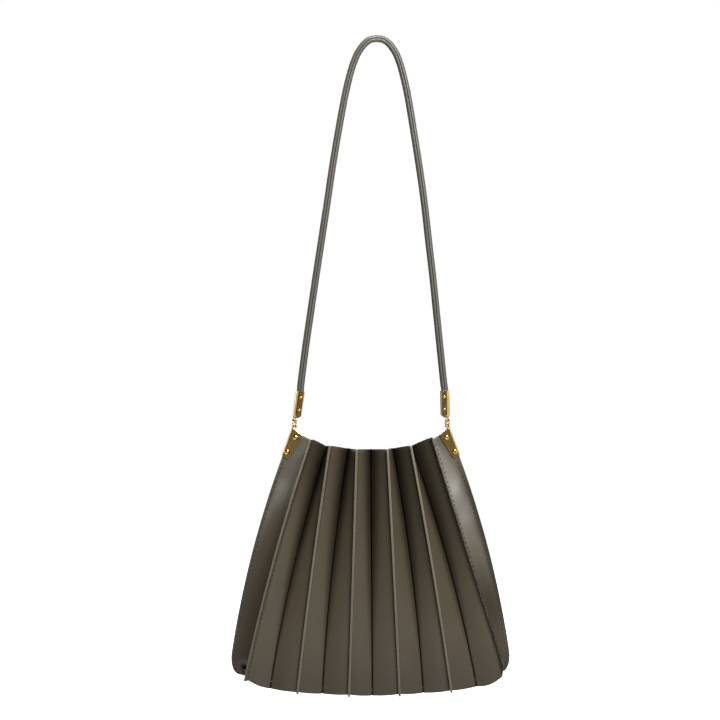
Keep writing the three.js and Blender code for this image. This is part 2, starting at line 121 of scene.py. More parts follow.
# The levels that are built, close together where the side seams' feet are round
FOOT_STEPS = 12
WALL_STEPS = 52
LEVELS = [CORNER_HEIGHT * (1 - math.cos(i / FOOT_STEPS * math.pi / 2)) for i in range(FOOT_STEPS)]
LEVELS += [CORNER_HEIGHT + (1 - CORNER_HEIGHT) * i / WALL_STEPS for i in range(WALL_STEPS + 1)]

# Fitting sizes: u runs down the side seam from the clip's outer top corner, v runs inwards
CLIP_WALL = 1
CLIP_GAP = 0.35
CLIP_LENGTH = 29.6
CLIP_TOP = 12.7
CLIP_TOP_DROP = 3.9
CLIP_FOOT = 7.6
CLIP_FOOT_DROP = 1.2
CLIP_SEAM_DEPTH = 1.9
CLIP_THICK = 5.2
CLIP_FOOT_LEVEL = 0.88
CLIP_SPINE = 2.3  # rounding of the fold along the seam
CLIP_TOP_EDGE = 0.6
CLIP_SHEET = 0.9
CLIP_EDGE = 0.22
CLIP_RIVETS = [(8.5, 7.05), (24.8, 4.15)]
CLIP_RIVET_HEAD = (2.7, 1.3)  # radius and height
EYE_RADIUS = 1.95
EYE_WIRE = 0.75
EYE_STEM = 2.4
EYE_INSET = 2
STEM_RADIUS = 0.85
STEM_LENGTH = 1.4
STEM_FLARE = 1.7
LINK_TURN = 60
RING_RADIUS = 3.1
RING_WIRE = 0.8
RING_CUT = 2.4  # half of it, in degrees
FERRULE_RADIUS = 4.4
FERRULE_LENGTH = 27
FERRULE_TAPER = 2.5
FERRULE_TAPER_OFFSET = 1
FERRULE_END = 0.5  # what the taper leaves of the width
FERRULE_BACK = 4.1  # rounding of the outer side
FERRULE_LEAF = 0.9  # rounding of the inner side
FERRULE_SHEET = 0.55
FERRULE_EDGE = 0.2
FERRULE_EYE_OFFSET = 1.8
FERRULE_RIVET_INSET = 1.3
FERRULE_RIVETS = [6, 18.5]
FERRULE_RIVET_HEAD = (1.5, 0.8)
FERRULE_LEAN = {-1: 8, 1: -1.1}
RIVET_DIMPLE = 0.3  # shares of the head's radius and height
RIVET_DIMPLE_DEPTH = 0.4
RIVET_EDGE = 0.12
RIVET_ANGLE = 50
METAL_ANGLE = 40
FOLD_ANGLE = 35

# Strap sizes
STRAP_RADIUS = 3.6
STRAP_INSERT = 23
STRAP_SIDES = 80
STRAP_STEPS = 8
STRAP_SEAM_DEPTH = 1.1
STRAP_SEAM_HALF = 0.6
STRAP_FACE = 0.2  # the share of the radius left free of the painted side shade
STRAP_SIDE_SHADE = 0.7
STRAP_ROUTE = [
    (-76.1, -342), (-71.5, -306), (-66.3, -270), (-61, -234), (-55.5, -198), (-50, -162), (-44.7, -126),
    (-38.7, -90), (-32, -54), (-26.3, -30), (-21, -15), (-15.2, -5), (-8.2, 1.6), (0, 3.6),
    (8.4, 1.6), (15.2, -5), (20.8, -15), (25.6, -30), (31, -54), (37, -90), (42.7, -126),
    (47.7, -162), (51.8, -198), (56, -234), (59.7, -270), (63.4, -306), (67.2, -342),
]

# Camera, in metres: level with the middle of the bag and strap together, and a little to the left
VIEW_AZIMUTH = math.radians(-3.4)
VIEW_DISTANCE = 2.0
VIEW_WIDTH = 0.72
VIEW_TARGET = Vector((-0.017, 0, -0.318))

camera = bpy.data.objects.new("camera", bpy.data.cameras.new("camera"))
scene.collection.objects.link(camera)
camera.location = VIEW_TARGET + VIEW_DISTANCE * Vector((math.sin(VIEW_AZIMUTH), -math.cos(VIEW_AZIMUTH), 0))
camera.rotation_euler = (math.pi / 2, 0, VIEW_AZIMUTH)
camera.data.angle = 2 * math.atan(VIEW_WIDTH / 2 / VIEW_DISTANCE)
scene.camera = camera


def linear(code):
    """The linear colour, with alpha, of an sRGB hex code."""
    parts = [int(code[i : i + 2], 16) / 255 for i in (1, 3, 5)]
    return [c / 12.92 if c <= 0.04045 else ((c + 0.055) / 1.055) ** 2.4 for c in parts] + [1]


def add_node(tree, kind, settings=None, inputs=None):
    """A node of that kind, with its settings and with its inputs set or linked."""
    node = tree.nodes.new(kind)
    for name, value in (settings or {}).items():
        setattr(node, name, value)
    for name, value in (inputs or {}).items():
        if isinstance(value, bpy.types.NodeSocket):
            tree.links.new(value, node.inputs[name])
        else:
            node.inputs[name].default_value = value
    return node


def blank(name):
    """A material with an empty tree: the material, its tree and its Principled shader."""
    material = bpy.data.materials.new(name)
    material.use_nodes = True
    tree = material.node_tree
    tree.nodes.clear()
    shader = tree.nodes.new("ShaderNodeBsdfPrincipled")
    add_node(tree, "ShaderNodeOutputMaterial", inputs={"Surface": shader.outputs["BSDF"]})
    return material, tree, shader


# Real sizes and shares behind the materials. Noise lies mostly between NOISE_LOW and NOISE_HIGH.
NOISE_LOW = 0.3
NOISE_HIGH = 0.7
CLOUD_MM = 38
CLOUD_HIGH = 0.72
PORE_MM = 0.45
PORE_SHARE = 0.35  # of the pebbles' relief
GRAIN_RELIEF_MM = 0.15
GLOSS_SPREAD = 0.1
PAINTED_SHADE_COLOUR = 0.25  # what is left of the colour under full painted shade, deep in a fold
PAINTED_HEM_SHADE = 0.7  # what is left of the colour at the hem, under painted shade
HEM_SHADE_START = -5  # from the base's height
HEM_SHADE_END = 60
WAX = 0.5
FIBRE_RELIEF_MM = 0.2
TARNISH_MM = 14
DULL_BRASS = 0.22
BRIGHT_BRASS = 0.16


def leather(name, dark, light, grain_mm, grain_depth, gloss):
    """Full-grain calf, pigmented and lightly waxed.

    It shows cloudy colour, fine pebbled grain and soft patches of gloss. Painted shade darkens its colour and
    turns down its specular deep in folds, on faces turned away from the key light, low on the gussets and on
    the strap's sides, and more painted shade darkens it towards the hem.
    """
    material, tree, shader = blank(name)
    place = add_node(tree, "ShaderNodeTexCoord").outputs["Object"]
    cloud = add_node(tree, "ShaderNodeTexNoise", None, {
        "Vector": place, "Scale": 1 / (CLOUD_MM * MM), "Detail": 4.0, "Roughness": 0.55})
    pebble = add_node(tree, "ShaderNodeTexVoronoi", {"feature": "SMOOTH_F1"}, {
        "Vector": place, "Scale": 1 / (grain_mm * MM), "Smoothness": 0.6, "Randomness": 1.0})
    pore = add_node(tree, "ShaderNodeTexNoise", None, {
        "Vector": place, "Scale": 1 / (PORE_MM * MM), "Detail": 3.0})
    tone = add_node(tree, "ShaderNodeValToRGB", None, {"Fac": cloud.outputs["Fac"]})
    for stop, position, colour in zip(tone.color_ramp.elements, (NOISE_LOW, CLOUD_HIGH), (dark, light)):
        stop.position = position
        stop.color = linear(colour)
    gloss_map = add_node(tree, "ShaderNodeMapRange", None, {
        "Value": cloud.outputs["Fac"], "From Min": NOISE_LOW, "From Max": NOISE_HIGH,
        "To Min": gloss + GLOSS_SPREAD, "To Max": gloss - GLOSS_SPREAD})
    relief = add_node(tree, "ShaderNodeMath", {"operation": "MULTIPLY_ADD"}, {
        0: pore.outputs["Fac"], 1: PORE_SHARE, 2: pebble.outputs["Distance"]})
    bump = add_node(tree, "ShaderNodeBump", None, {
        "Height": relief.outputs["Value"], "Strength": grain_depth, "Distance": GRAIN_RELIEF_MM * MM})
    # Painted shade stored on the pieces: it darkens the colour in folds and other shaded places
    painted_shade = add_node(tree, "ShaderNodeAttribute", {"attribute_name": "painted_shade"})
    kept = add_node(tree, "ShaderNodeMapRange", None, {
        "Value": painted_shade.outputs["Fac"], "To Min": 1.0, "To Max": PAINTED_SHADE_COLOUR})
    height = add_node(tree, "ShaderNodeSeparateXYZ", None, {"Vector": place}).outputs["Z"]
    # Painted shade, darker towards the hem
    painted_hem_shade = add_node(tree, "ShaderNodeMapRange", {"interpolation_type": "SMOOTHSTEP"}, {
        "Value": height, "From Min": (BASE_Z + HEM_SHADE_START) * MM, "From Max": (BASE_Z + HEM_SHADE_END) * MM,
        "To Min": PAINTED_HEM_SHADE, "To Max": 1.0})
    depth = add_node(tree, "ShaderNodeMath", {"operation": "MULTIPLY"}, {
        0: kept.outputs["Result"], 1: painted_hem_shade.outputs["Result"]})
    shade = add_node(tree, "ShaderNodeVectorMath", {"operation": "SCALE"}, {
        0: tone.outputs["Color"], "Scale": depth.outputs["Value"]})
    # The specular falls to nothing under full painted shade
    painted_shade_specular = add_node(tree, "ShaderNodeMapRange", None, {
        "Value": painted_shade.outputs["Fac"], "To Min": WAX, "To Max": 0.0})
    tree.links.new(shade.outputs["Vector"], shader.inputs["Base Color"])
    tree.links.new(painted_shade_specular.outputs["Result"], shader.inputs["Specular IOR Level"])
    tree.links.new(gloss_map.outputs["Result"], shader.inputs["Roughness"])
    tree.links.new(bump.outputs["Normal"], shader.inputs["Normal"])
    shader.inputs["IOR"].default_value = 1.48
    return material


def fibrous(name, dark, light, fibre_mm, roughness, top_highlight=0):
    """Matt mixed fibres, cut, napped or spun. The last argument paints a highlight that makes them lighter
    towards the mouth and painted shade that makes them darker towards the hem.
    """
    material, tree, shader = blank(name)
    place = add_node(tree, "ShaderNodeTexCoord").outputs["Object"]
    fibre = add_node(tree, "ShaderNodeTexNoise", None, {
        "Vector": place, "Scale": 1 / (fibre_mm * MM), "Detail": 5.0, "Roughness": 0.7})
    tone = add_node(tree, "ShaderNodeValToRGB", None, {"Fac": fibre.outputs["Fac"]})
    for stop, position, colour in zip(tone.color_ramp.elements, (NOISE_LOW, NOISE_HIGH), (dark, light)):
        stop.position = position
        stop.color = linear(colour)
    bump = add_node(tree, "ShaderNodeBump", None, {
        "Height": fibre.outputs["Fac"], "Strength": 0.3, "Distance": FIBRE_RELIEF_MM * MM})
    height = add_node(tree, "ShaderNodeSeparateXYZ", None, {"Vector": place}).outputs["Z"]
    # Painted highlight towards the mouth and painted shade towards the hem
    top_highlight_ramp = add_node(tree, "ShaderNodeMapRange", None, {
        "Value": height, "From Min": BASE_Z * MM, "From Max": TOP_Z * MM,
        "To Min": 1 - top_highlight, "To Max": 1 + top_highlight})
    shade = add_node(tree, "ShaderNodeVectorMath", {"operation": "SCALE"}, {
        0: tone.outputs["Color"], "Scale": top_highlight_ramp.outputs["Result"]})
    tree.links.new(shade.outputs["Vector"], shader.inputs["Base Color"])
    tree.links.new(bump.outputs["Normal"], shader.inputs["Normal"])
    shader.inputs["Roughness"].default_value = roughness
    return material


def polished_brass(name, dark, light):
    """Polished brass under clear lacquer: warm bright faces with soft tarnish."""
    material, tree, shader = blank(name)
    place = add_node(tree, "ShaderNodeTexCoord").outputs["Object"]
    tarnish = add_node(tree, "ShaderNodeTexNoise", None, {
        "Vector": place, "Scale": 1 / (TARNISH_MM * MM), "Detail": 3.0})
    tone = add_node(tree, "ShaderNodeValToRGB", None, {"Fac": tarnish.outputs["Fac"]})
    for stop, position, colour in zip(tone.color_ramp.elements, (NOISE_LOW, NOISE_HIGH), (dark, light)):
        stop.position = position
        stop.color = linear(colour)
    rough = add_node(tree, "ShaderNodeMapRange", None, {
        "Value": tarnish.outputs["Fac"], "From Min": NOISE_LOW, "From Max": NOISE_HIGH,
        "To Min": DULL_BRASS, "To Max": BRIGHT_BRASS})
    tree.links.new(tone.outputs["Color"], shader.inputs["Base Color"])
    tree.links.new(rough.outputs["Result"], shader.inputs["Roughness"])
    shader.inputs["Metallic"].default_value = 1.0
    shader.inputs["Coat Weight"].default_value = 1.0
    shader.inputs["Coat Roughness"].default_value = 0.08
    return material


calf = leather("calf_leather", "#413a2d", "#474033", grain_mm=1.0, grain_depth=0.15, gloss=0.36)
rolled_calf = leather("rolled_calf_leather", "#4a4842", "#53504a", grain_mm=0.9, grain_depth=0.15, gloss=0.36)
# The raw edges get a painted highlight towards the mouth and painted shade towards the hem
raw_edge = fibrous("raw_leather_edge", "#5a5343", "#666050", fibre_mm=0.8, roughness=0.5, top_highlight=0.15)
napped = fibrous("napped_leather_back", "#5a503f", "#6b604d", fibre_mm=0.6, roughness=0.9)
thread = fibrous("waxed_linen_thread", "#1a1712", "#26221b", fibre_mm=0.4, roughness=0.6)
brass = polished_brass("polished_brass", "#a88846", "#c8a65e")


def finish_piece(piece, slot, *nodes):
    """Rides the piece on the root body and hides the parts of the model that it stands for. slot is not used.
    """
    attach(piece, "root")
    if nodes:
        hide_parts(*nodes)


def apply_modifiers(piece):
    bpy.ops.object.select_all(action="DESELECT")
    bpy.context.view_layer.objects.active = piece
    piece.select_set(True)
    for name in [modifier.name for modifier in piece.modifiers]:
        bpy.ops.object.modifier_apply(modifier=name)


def lerp(a, b, share):
    """The value between a and b, that share of the way along."""
    return a + (b - a) * share


# Fold lines

def fold_point(row, level):
    """A point on a fold line, in the bag's frame: x from its middle plane, -y at the front."""
    swell = 4 * level * (1 - level)
    below = max(0, 1 - level / CORNER_HEIGHT)
    rounded = row.corner_in * (1 - math.sqrt(1 - below * below))
    x = lerp(row.x_base, row.x_top, level) + row.bow * swell - rounded
    belly = 0 if row.kind == "seam" else BELLY * swell
    y = lerp(row.y_base, row.y_top, level) + belly
    hem = BASE_Z - row.sink + BASE_ARC - math.sqrt(BASE_ARC**2 - row.x_base**2)
    return Vector((row.side * x, -y, lerp(hem, TOP_Z + row.rise, level)))


def flat_unit(way):
    """The level direction of a way, one long."""
    return Vector((way.x, way.y, 0)).normalized()


def fin_direction(index, level):
    """The way a ridge's fin stands out: halfway between its two panels, or leaning."""
    tip = fold_point(FOLDS[index], level)
    before = fold_point(FOLDS[index - 1], level) if index > 0 else None
    after = fold_point(FOLDS[index + 1], level) if index < len(FOLDS) - 1 else None
    before = before or Vector((after.x, -after.y, after.z))
    after = after or Vector((before.x, -before.y, before.z))
    out = (flat_unit(tip - before) + flat_unit(tip - after)).normalized()
    return Matrix.Rotation(FIN_LEAN.get(index, 0), 3, "Z") @ out


def fin_reach(row, level):
    """How far a fin stands out of its panels."""
    if row.kind != "seam":
        return FIN_HEIGHT
    return FIN_HEIGHT + SEAM_FLARE * max(0, (level - FLARE_LEVEL) / (1 - FLARE_LEVEL))


def strip_end(index, level, valley):
    """A fin's tip and root on the layer of leather that runs to the valley."""
    row = FOLDS[index]
    tip = fold_point(row, level)
    out = fin_direction(index, level)
    aside = Vector((-out.y, out.x, 0))
    if aside.dot(valley - tip) < 0:
        aside.negate()
    on_layer = tip + aside * LAYER_OFFSET
    root = on_layer - out * fin_reach(row, level)
    if row.kind == "seam":
        root.z -= SEAM_SLOPE * level * fin_reach(row, level)
    else:
        tail = SHORT_TAIL if index == OUTER_RIDGES[0] else FIN_TAIL
        on_layer.z -= tail * max(0, 1 - level / TAIL_LEVEL)
    if index == OUTER_RIDGES[1]:
        root.z -= FOOT_DROP * max(0, 1 - level / FOOT_LEVEL) ** 2
    return on_layer, root


def strip_corners(ridge, level):
    """The corners of a strip's section: tip, root, crease mouth and floor, and back out to the other tip."""
    row = FOLDS[ridge + 1]
    fold = fold_point(row, level)
    first_tip, first_root = strip_end(ridge, level, fold)
    last_tip, last_root = strip_end(ridge + 2, level, fold)
    panels = [flat_unit(first_root - fold), flat_unit(last_root - fold)]
    inwards = -(panels[0] + panels[1]).normalized()
    mouths = []
    floors = []
    for panel in panels:
        aside = panel - inwards * panel.dot(inwards)
        mouths.append(fold + panel * CREASE_HALF / aside.length)
        depth = max(row.crease, SHALLOWEST_CREASE)
        floors.append(fold + aside.normalized() * CREASE_HALF + inwards * depth)
    return [first_tip, first_root, mouths[0], floors[0], floors[1], mouths[1], last_root, last_tip]


# A strip's section has seven segments: fin, panel, crease side, floor, crease side, panel and fin.
CORNER_EASE = [0.9, 1.4, 0.8, 0.8, 1.4, 0.9]  # how far from each corner its bend starts
MOST_EASE = 0.45  # of a segment's length
BEND_STEPS = 6
SEAM_EASE = 14  # a gusset rolls over from its panel to the side seam
SEAM_ROLL = 0.95
PANEL_ROLL = 0.6
SEGMENT_STEPS = [4, 11, 2, 1, 2, 11, 4]
CORNER_SHARES = [0, 0, 0.9, 1, 1, 0.9, 0, 0]  # each corner's share of the way from a fin to the valley
FIRST_PANEL = 1
LAST_PANEL = 5
OUTER_PANELS = {
    (OUTER_RIDGES[0], FIRST_PANEL): OUTER_DROOP[-1],
    (OUTER_RIDGES[1] - 2, LAST_PANEL): OUTER_DROOP[1],
}
SIDE_PANELS = ((0, FIRST_PANEL), (len(FOLDS) - 3, LAST_PANEL))
WAVE_HEIGHT = 0.5
WAVE_ACROSS = 40
WAVE_UP = 90

# The front left gusset is pinched in at its foot, beside the first pleat's fin. Points count from its seam.
PINCHED = "front_left_gusset"
PINCH_POINT = 9.7
PINCH_POINTS = 1.3
PINCH_LEVEL = 0.037
PINCH_LEVELS = 0.017
PINCH_DEPTH = 6
# how strong the painted shade in the pinch's hollow is
PINCH_SHADE = 1.5


def pinch(number, level, lowest=0):
    """How far in a point of the pinched strip goes, from 0 to 1, down to the lowest level."""
    across = (number - PINCH_POINT) / PINCH_POINTS
    up = (level - max(lowest, min(level, PINCH_LEVEL))) / PINCH_LEVELS
    return math.exp(-across * across - up * up)


def softness(point):
    """A slow, shallow wave in the leather, as handled leather has."""
    place = Vector((point.x / WAVE_ACROSS, point.y / WAVE_ACROSS, point.z / WAVE_UP))
    return WAVE_HEIGHT * noise.noise(place)


def strip_section(ridge, level):
    """A strip's section at a level as a smooth line: bends at the corners, panels that puff out a little."""
    corners = strip_corners(ridge, level)
    lengths = [(b - a).length for a, b in zip(corners, corners[1:])]
    starts = [corners[0]]
    ends = []
    bends = []
    for i, wanted in enumerate(CORNER_EASE, start=1):
        before = after = min(wanted, MOST_EASE * lengths[i - 1], MOST_EASE * lengths[i])
        if i == 1 and FOLDS[ridge].kind == "seam":
            before = SEAM_ROLL * lengths[0]
            after = min(SEAM_EASE, PANEL_ROLL * lengths[1])
        if i == len(CORNER_EASE) and FOLDS[ridge + 2].kind == "seam":
            before = min(SEAM_EASE, PANEL_ROLL * lengths[-2])
            after = SEAM_ROLL * lengths[-1]
        corner = corners[i]
        into = corner + (corners[i - 1] - corner).normalized() * before
        onto = corner + (corners[i + 1] - corner).normalized() * after
        ends.append(into)
        starts.append(onto)
        shares = [j / BEND_STEPS for j in range(1, BEND_STEPS)]
        bends.append([lerp(lerp(into, corner, share), lerp(corner, onto, share), share) for share in shares])
    ends.append(corners[-1])
    bends.append([])
    line = []
    for i, (start, end, bend) in enumerate(zip(starts, ends, bends)):
        along = flat_unit(end - start)
        outwards = Vector((along.y, -along.x, 0))
        steps = SEGMENT_STEPS[i]
        for j in range(steps + 1):
            share = j / steps
            point = lerp(start, end, share)
            if i in (FIRST_PANEL, LAST_PANEL):
                hump = 4 * share * (1 - share)
                if (ridge, i) in SIDE_PANELS:
                    point += outwards * hump * hump * softness(point)
                else:
                    point += outwards * hump * (PANEL_PUFF * lengths[i] + softness(point))
                droop = OUTER_PANELS.get((ridge, i), HEM_DROOP)
                point.z -= droop * hump * max(0, 1 - level / DROOP_LEVEL)
            line.append(point)
        line += bend
    return line


def fold_shares():
    """How far each point of a strip's section lies on the way from its fins, 0, to its valley, 1."""
    shares = []
    for steps, start, end in zip(SEGMENT_STEPS, CORNER_SHARES, CORNER_SHARES[1:]):
        shares += [lerp(start, end, j / steps) for j in range(steps + 1)]
        shares += [end] * (BEND_STEPS - 1)
    return shares[:1 - BEND_STEPS]


# The painted shade is how dark the leather is painted where shade falls: 0 on an open face and 1 deep in a
# fold
GROOVE_SHARE = 0.9  # the groove at the bottom of a fold starts here
FOLD_REACH = 0.95  # how far out of a fold the painted shade reaches at the top
FOLD_DARK = 0.3  # how much painted shade a fold's sides have at the hem

# Painted shade on faces turned away from the key light: the left face of the first pleat and the right faces
# of the last three
LEFT_FACE_SHADE = {"pleat_1": 0.5}
LEFT_FACE_SHADE_LEVELS = (0.65, 1)
RIGHT_FACE_SHADE = {"pleat_3": 0.12, "pleat_4": 0.33, "pleat_5": 0.38}
RIGHT_FACE_SHADE_LEVELS = (0.2, 0.65)

# Painted shade on the gussets: beside the side seam, over a number of the section's points, and low down
SEAM_SHADE = {"left_gusset": 0.35, "right_gusset": 0.75}
SEAM_SHADE_STARTS = (0.05, 0.3)
SEAM_SHADE_ENDS = (0.75, 0.9)
SEAM_SHADE_POINTS = (5, 9.5)
LOW_SHADE = {"left_gusset": 0.15, "right_gusset": 0.65}
LOW_SHADE_LEVELS = (0.3, 0.55)
FOOT_SHADE_LEVELS = (0.15, 0.27)
FOOT_SHADE = 0.65  # what is left of the low painted shade at the foot


def ramp(value, start, end):
    """0 before the start, 1 after the end, smooth between them."""
    share = min(1, max(0, (value - start) / (end - start)))
    return share * share * (3 - 2 * share)


def painted_shade_depth(share, level):
    """How much painted shade a point gets from how deep in its fold it is.

    The folds close towards the top, so the painted shade reaches further out there. The groove at the bottom
    of the fold is painted dark all the way down.
    """
    edge = 1 - FOLD_REACH * level
    depth = ramp(share, edge, 1) if edge < 1 else 0
    groove = max(0, (share - GROOVE_SHARE) / (1 - GROOVE_SHARE))
    return max(groove, depth * min(1, FOLD_DARK + level))


def gusset_painted_shade(strip_name, number, level):
    """A gusset gets painted shade by its seam, where number starts to count, and low behind the pleat."""
    height = ramp(level, *SEAM_SHADE_STARTS) * (1 - ramp(level, *SEAM_SHADE_ENDS))
    seam = SEAM_SHADE[strip_name] * height * (1 - ramp(number, *SEAM_SHADE_POINTS))
    foot = lerp(FOOT_SHADE, 1, ramp(level, *FOOT_SHADE_LEVELS))
    low = LOW_SHADE[strip_name] * (1 - ramp(level, *LOW_SHADE_LEVELS)) * foot
    return max(seam, low)


def pleat_painted_shade(strip_name, share, level, on_left):
    """A pleat gets painted shade down in its fold, and on a face turned away from the key light."""
    # lean is the painted shade on a face turned away from the key light
    if on_left:
        lean = LEFT_FACE_SHADE.get(strip_name, 0) * ramp(level, *LEFT_FACE_SHADE_LEVELS)
    else:
        lean = RIGHT_FACE_SHADE.get(strip_name, 0) * ramp(level, *RIGHT_FACE_SHADE_LEVELS)
    depth = painted_shade_depth(share, level)
    return depth + lean * (1 - depth)


def strip_painted_shade(strip_name):
    """The painted shade of every point of a strip, from the hem up."""
    shares = fold_shares()
    values = []
    for level in LEVELS:
        for i, share in enumerate(shares):
            if strip_name in SEAM_SHADE:
                number = i if strip_name == "left_gusset" else len(shares) - 1 - i
                values.append(gusset_painted_shade(strip_name, number, level))
            else:
                values.append(pleat_painted_shade(strip_name, share, level, 2 * i < len(shares)))
    return values


def settled(point):
    """A point of the bag's frame, in metres in the shared frame."""
    return Vector(((point.x + BAG_X) * MM, point.y * MM, point.z * MM))


def new_piece(name, points, faces):
    """A new object in the scene, from points and faces."""
    mesh = bpy.data.meshes.new(name)
    mesh.from_pydata(points, [], faces)
    piece = bpy.data.objects.new(name, mesh)
    scene.collection.objects.link(piece)
    return piece


def mark_painted_shade(piece, painted_shade):
    """Stores the painted shade of a piece's points for its material."""
    piece.data.attributes.new("painted_shade", "FLOAT", "POINT").data.foreach_set("value", painted_shade)


def sheet_mesh(name, rows, turned):
    """A piece made of a grid of points. turned flips its faces."""
    across = len(rows[0])
    faces = []
    for i in range(len(rows) - 1):
        for j in range(across - 1):
            quad = [i * across + j, i * across + j + 1, (i + 1) * across + j + 1, (i + 1) * across + j]
            faces.append(quad[::-1] if turned else quad)
    return new_piece(name, [p for row in rows for p in row], faces)


def line_length(line):
    return sum((b - a).length for a, b in zip(line, line[1:]))


# Walls: each strip is one sheet of leather, folded at its valley, with its raw edges in two fins

RAW_EDGE = 1  # material slots after the face's own
NAPPED_BACK = 2
EDGE_WEAR = 0.28
EDGE_ANGLE = 50


def thicken(sheet, thickness):
    """Gives a sheet its thickness, with raw edges and a napped back."""
    for material in (calf, raw_edge, napped):
        sheet.data.materials.append(material)
    wall = sheet.modifiers.new("thickness", "SOLIDIFY")
    wall.thickness = thickness * MM
    wall.offset = 0
    wall.material_offset_rim = RAW_EDGE
    wall.material_offset = NAPPED_BACK


def wall_strip(face_name, face, number):
    """One strip of the front, where face is 1, or of the back, where it is -1."""
    name = f"{face_name}_{STRIPS[number]}"
    rows = []
    for level in LEVELS:
        sink = BACK_SINK * level if face < 0 else 0
        section = strip_section(2 * number, level)
        if name == PINCHED:
            for i, point in enumerate(section):
                point.y += PINCH_DEPTH * pinch(i, level)
        rows.append([settled(Vector((p.x, face * p.y, p.z + sink * p.y))) for p in section])
    strip = sheet_mesh(f"leather_{name}", rows, face < 0)
    painted_shade = strip_painted_shade(STRIPS[number])
    # The pinch's hollow gets painted shade.
    if name == PINCHED:
        places = [(i, level) for level in LEVELS for i in range(len(rows[0]))]
        pinched = [min(1, PINCH_SHADE * pinch(i, level, PINCH_LEVEL)) for i, level in places]
        painted_shade = [max(pair) for pair in zip(painted_shade, pinched)]
    mark_painted_shade(strip, painted_shade)
    thicken(strip, LEATHER)
    rim = strip.modifiers.new("worn_edges", "BEVEL")
    rim.width = EDGE_WEAR * MM
    rim.segments = 2
    rim.limit_method = "ANGLE"
    rim.angle_limit = math.radians(EDGE_ANGLE)
    rim.material = RAW_EDGE
    apply_modifiers(strip)
    strip.data.shade_smooth()
    finish_piece(strip, "wall_leather", name)


for face_name, face in (("front", 1), ("back", -1)):
    for number in range(len(STRIPS)):
        wall_strip(face_name, face, number)


# Base: one sagging sheet inside the hem

BASE_LIFT = 2
BASE_THICK = 1.6
BASE_COLUMNS = 150
BASE_ROWS = 16
BASE_INSET = 1.2
BASE_END = 128
BASE_LEVEL = 0.035
BASE_LEAST = 0.5  # half the depth of the base's ends
BASE_WAVE = 1.2
BASE_WAVE_PLACE = 3
PANEL_CORNERS = (1, 2, 5, 6)  # of a strip's section


def base_depth(x):
    """Half the base's depth at x, just inside the nearest of the walls' folds at the base's height."""
    corners = []
    for ridge in range(0, len(FOLDS) - 2, 2):
        section = strip_corners(ridge, BASE_LEVEL)
        corners += [section[i] for i in PANEL_CORNERS]
    spans = [(a, b) for a, b in zip(corners, corners[1:]) if a.x <= x <= b.x and b.x > a.x]
    return min([-lerp(a.y, b.y, (x - a.x) / (b.x - a.x)) for a, b in spans], default=0) - BASE_INSET


def base_sheet():
    """The base, column by column from left to right."""
    rows = []
    for i in range(BASE_COLUMNS + 1):
        x = BASE_END * (2 * i / BASE_COLUMNS - 1)
        half = max(BASE_LEAST, min(base_depth(x), base_depth(x + math.copysign(BASE_INSET, x))))
        arc = BASE_Z + BASE_LIFT + BASE_THICK / 2 + BASE_ARC - math.sqrt(BASE_ARC**2 - x * x)
        row = []
        for j in range(BASE_ROWS + 1):
            share = 2 * j / BASE_ROWS - 1
            wave = BASE_WAVE * noise.noise(Vector((x / WAVE_ACROSS, share, BASE_WAVE_PLACE)))
            row.append(settled(Vector((x, half * share, arc + wave))))
        rows.append(row)
    base = sheet_mesh("leather_base", rows, True)
    thicken(base, BASE_THICK)
    apply_modifiers(base)
    base.data.shade_smooth()
    finish_piece(base, "wall_leather", "base_panel")


base_sheet()


# Modelling steps

NEAR = 0.02 * MM  # close enough to be there
ALMOST = 0.99  # of the way to an end, to pick what lies there


def begin(primitive, **settings):
    """Adds one primitive, alone selected, and opens it in edit mode."""
    bpy.ops.object.select_all(action="DESELECT")
    primitive(**settings)
    bpy.ops.object.mode_set(mode="EDIT")
    return bpy.context.object


def choose(kind, test):
    """In edit mode, selects the vertices, edges or faces whose middle passes the test."""
    bpy.ops.mesh.select_mode(type=kind)
    bpy.ops.mesh.select_all(action="DESELECT")
    mesh = bmesh.from_edit_mesh(bpy.context.object.data)
    elements = {"VERT": mesh.verts, "EDGE": mesh.edges, "FACE": mesh.faces}[kind]
    for element in elements:
        corners = [element.co] if kind == "VERT" else [v.co for v in element.verts]
        element.select_set(bool(test(sum(corners, Vector()) / len(corners))))
    bmesh.update_edit_mesh(bpy.context.object.data)


def close_up(piece, matrix):
    """Leaves edit mode and puts the piece in its place, with its mesh in the shared frame."""
    if piece.mode == "EDIT":
        bpy.ops.object.mode_set(mode="OBJECT")
    piece.data.transform(matrix)
    if matrix.determinant() < 0:
        piece.data.flip_normals()


def join(pieces):
    bpy.ops.object.select_all(action="DESELECT")
    for piece in pieces:
        piece.select_set(True)
    bpy.context.view_layer.objects.active = pieces[0]
    bpy.ops.object.join()
    return pieces[0]


# Thread: one stitch, copied along both faces of every fin

STITCH_LENGTH = 2.6
STITCH_RADIUS = 0.45
STITCH_STRAIGHT = 0.6  # shares of the stitch's length
STITCH_DIVE = 0.2
STITCH_TIP = 0.45  # of its radius
STITCH_PITCH = 4.8
STITCH_INSET = 3.1
SIDE_STITCH_INSET = {-1: 2.7, 1: 3.8}
STITCH_FIRST = 4
STITCH_STAND = 0.12
RIDGE_STOP = 3  # stitches end this far below the top, at the sides under the clips
SEAM_STOP = 30


